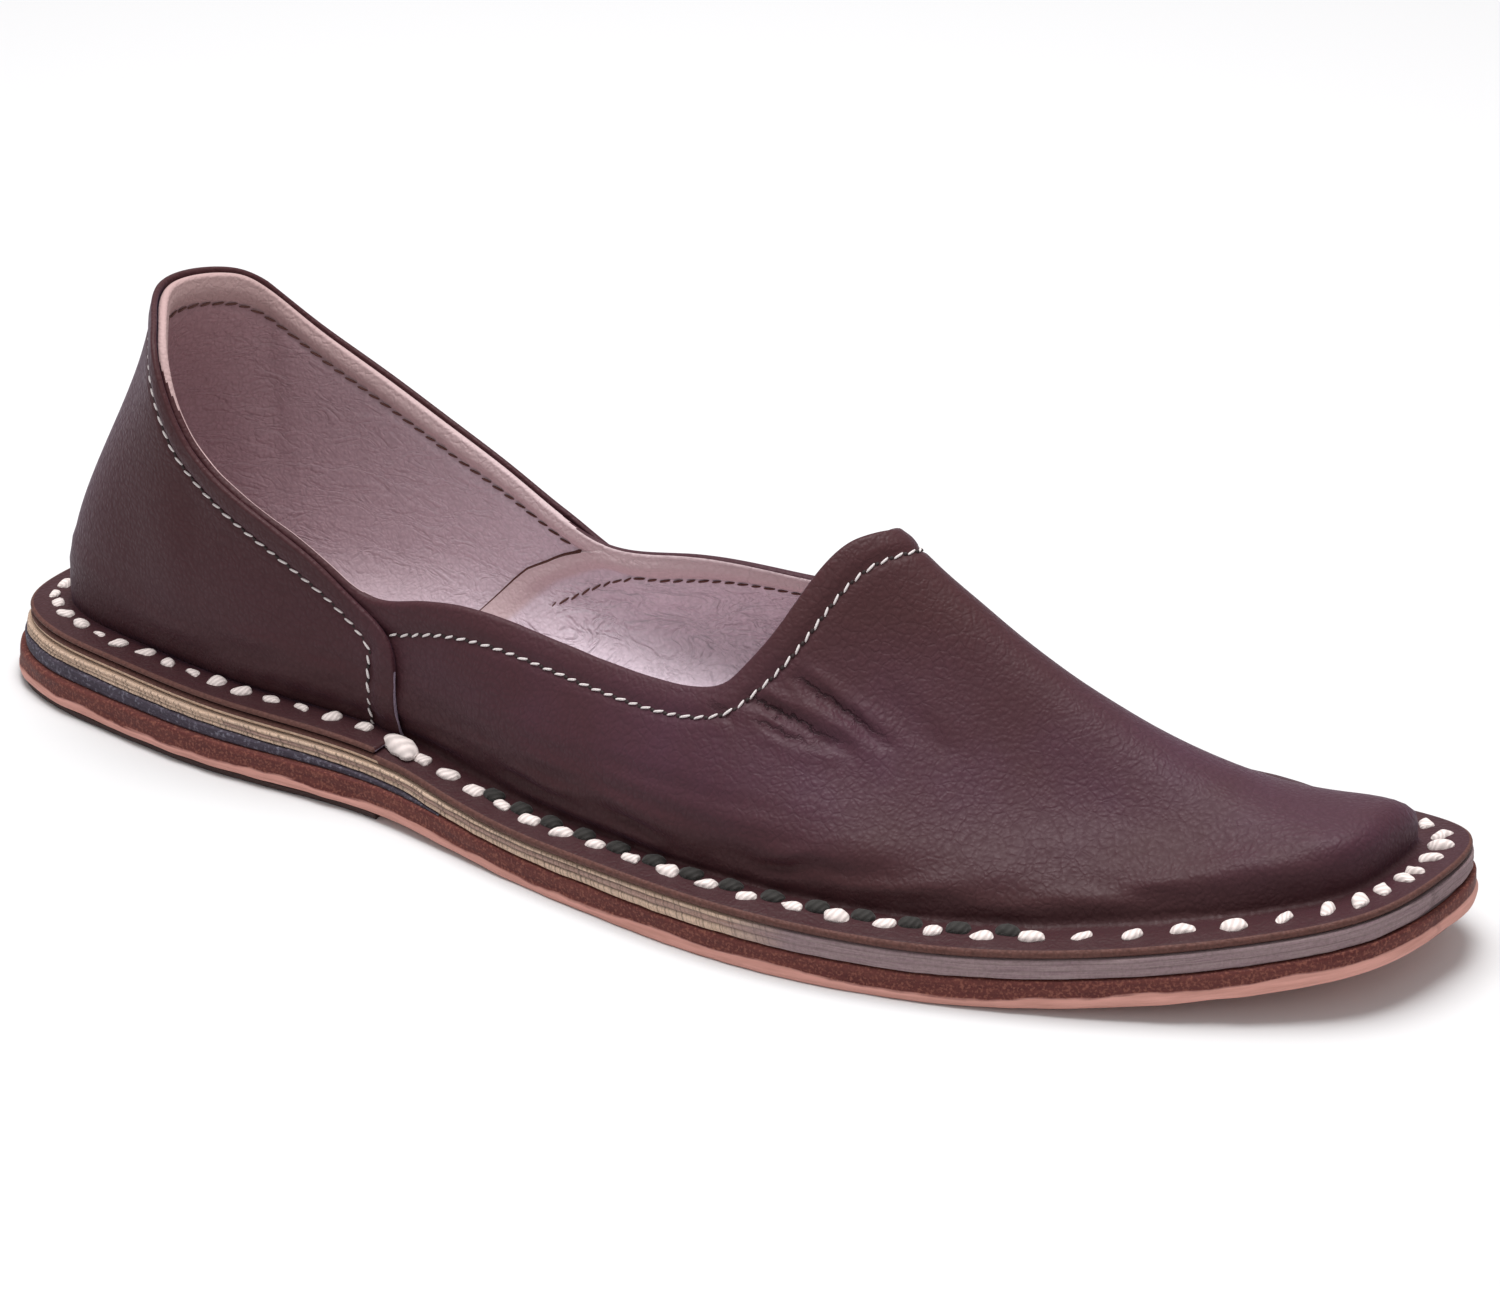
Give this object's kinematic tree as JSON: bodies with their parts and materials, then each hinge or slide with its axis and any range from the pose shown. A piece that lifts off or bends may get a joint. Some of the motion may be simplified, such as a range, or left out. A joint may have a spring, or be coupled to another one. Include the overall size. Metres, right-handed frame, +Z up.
{
  "type": "leather slip-on shoe",
  "caption": "Mojari: a brown leather slip-on with a low cut collar, a lapped back piece and a turned-out edge sewn to a layered leather sole.",
  "frame": {"origin": "middle of the sole's outline, on the floor", "axes": "+X to the toe, +Y to the wearer's left, +Z up"},
  "size_m": [0.2848, 0.1, 0.0782],
  "materials": {
    "upper_leather": "soft grained leather, satin",
    "quarter_leather": "soft grained leather, satin",
    "lining_leather": "matt beige lining leather",
    "midsole_fibre": "matt layered fibre board",
    "wedge_fibre": "matt dark blue-grey board",
    "sole_leather": "dyed leather edge, matt",
    "lift_leather": "dark leather, matt"
  },
  "bodies": {
    "root": {"upper": "upper_leather", "heel_quarter": "quarter_leather", "insole": "lining_leather", "midsole": "midsole_fibre", "heel_wedge": "wedge_fibre", "outsole": "sole_leather", "heel_lift": "lift_leather"}
  },
  "joints": []
}
